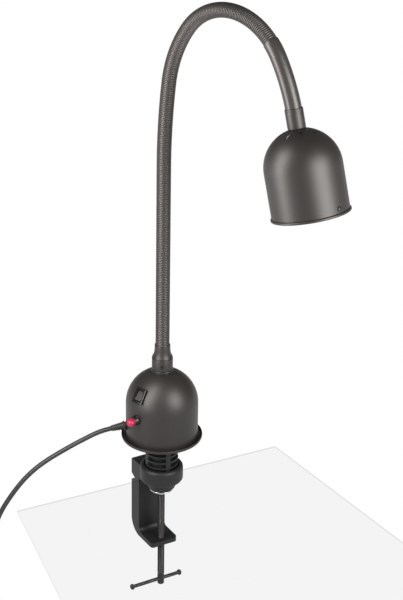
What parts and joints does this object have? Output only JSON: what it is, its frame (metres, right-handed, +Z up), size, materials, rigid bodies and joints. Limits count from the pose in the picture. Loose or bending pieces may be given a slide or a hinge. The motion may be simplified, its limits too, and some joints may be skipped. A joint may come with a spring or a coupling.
{
  "type": "clamp-on heat lamp",
  "caption": "Clamp-on heat lamp: a domed shade on a bending gooseneck above a domed base with rocker switch, pilot light and screw clamp.",
  "frame": {"origin": "centre of the clamp's upper jaw face, on the axis of the screw, the stand-off and the base", "axes": "+Z up; +X along the jaw's width; +Y from the throat back to the clamp's spine"},
  "size_m": [0.5906, 0.6466, 1.2442],
  "materials": {
    "satin_black": "satin",
    "casting": "satin",
    "dark_steel": "satin",
    "bright_steel": "satin",
    "neck_steel": "satin",
    "black_rubber": "matt",
    "black_plastic": "gloss",
    "red_lens": "gloss",
    "porcelain": "gloss",
    "brass": "satin",
    "bulb_glass": "frosted"
  },
  "bodies": {
    "base": {"clamp_body": "casting", "finned_post": "casting", "post_stud": "bright_steel", "post_washer": "bright_steel", "post_nut": "bright_steel", "base_plate": "satin_black", "base_dome": "satin_black", "base_screw_1": "bright_steel", "base_screw_2": "bright_steel", "base_screw_3": "bright_steel", "switch_housing": "black_plastic", "pilot_bezel": "black_plastic", "pilot_lens": "red_lens", "pilot_clip": "bright_steel", "cord_relief": "black_rubber", "terminal_block": "porcelain", "collar_washer": "dark_steel", "collar": "satin_black", "set_screw": "dark_steel", "collar_nut": "bright_steel", "cord_run": "black_rubber", "cord_coil": "black_rubber", "coil_tie": "black_rubber", "cord_tail": "black_rubber", "plug_body": "black_rubber", "plug_blade_1": "brass", "plug_blade_2": "brass", "plug_ground_pin": "brass"},
    "stem": {"lower_ferrule": "satin_black", "neck_1": "neck_steel"},
    "link_2": {"neck_2": "neck_steel"},
    "link_3": {"neck_3": "neck_steel"},
    "link_4": {"neck_4": "neck_steel"},
    "link_5": {"neck_5": "neck_steel"},
    "link_6": {"neck_6": "neck_steel"},
    "head": {"neck_7": "neck_steel", "neck_sleeve": "black_rubber", "head_ferrule": "satin_black", "shade": "satin_black", "rim_ring": "satin_black", "rim_screw_1": "bright_steel", "rim_screw_2": "bright_steel", "head_nipple": "dark_steel", "nipple_nut": "dark_steel", "lamp_socket": "porcelain", "bulb_base": "brass", "bulb_glass": "bulb_glass"},
    "pad": {"swivel_pad": "bright_steel"},
    "screw": {"clamp_screw": "dark_steel"},
    "handle": {"tommy_bar": "dark_steel", "bar_knob_left": "dark_steel", "bar_knob_right": "dark_steel"},
    "rocker": {"switch_rocker": "black_plastic"}
  },
  "joints": [
    {"name": "arm_swivel", "type": "hinge", "parent": "base", "child": "stem", "pos_m": [0, 0, 0.26], "axis": [0, 0, 1], "range_deg": [-165, 165]},
    {"name": "neck_bend_1", "type": "hinge", "parent": "stem", "child": "link_2", "pos_m": [0, 0, 0.345], "axis": [0.9563, 0.2924, 0], "range_deg": [-15, 20]},
    {"name": "neck_bend_2", "type": "hinge", "parent": "link_2", "child": "link_3", "pos_m": [0, 0, 0.49], "axis": [0.9563, 0.2924, 0], "range_deg": [-18, 20]},
    {"name": "neck_bend_3", "type": "hinge", "parent": "link_3", "child": "link_4", "pos_m": [0, 0, 0.638], "axis": [0.9563, 0.2924, 0], "range_deg": [-20, 18]},
    {"name": "neck_bend_4", "type": "hinge", "parent": "link_4", "child": "link_5", "pos_m": [0.01559, -0.05098, 0.89546], "axis": [0.9563, 0.2924, 0], "range_deg": [-25, 12]},
    {"name": "neck_bend_5", "type": "hinge", "parent": "link_5", "child": "link_6", "pos_m": [0.03857, -0.12617, 0.94067], "axis": [0.9563, 0.2924, 0], "range_deg": [-25, 12]},
    {"name": "neck_bend_6", "type": "hinge", "parent": "link_6", "child": "head", "pos_m": [0.0632, -0.20673, 0.91951], "axis": [0.9563, 0.2924, 0], "range_deg": [-25, 12]},
    {"name": "pad_slide", "type": "slide", "parent": "base", "child": "pad", "axis": [0, 0, 1], "range_m": [-0.0701, 0.0026]},
    {"name": "screw_turn", "type": "hinge", "parent": "pad", "child": "screw", "pos_m": [0, 0, -0.1], "axis": [0, 0, 1], "range_deg": [-10080, 360]},
    {"name": "tommy_bar_slide", "type": "slide", "parent": "screw", "child": "handle", "axis": [1, 0, 0], "range_m": [-0.0315, 0.053]},
    {"name": "switch_rock", "type": "hinge", "parent": "base", "child": "rocker", "pos_m": [-0.05383, -0.01646, 0.2115], "axis": [0.2924, -0.9563, 0], "range_deg": [0, 18]}
  ],
  "couplings": [
    {"joint": "pad_slide", "follows": "screw_turn", "m_per_rad": 0.00039789}
  ]
}
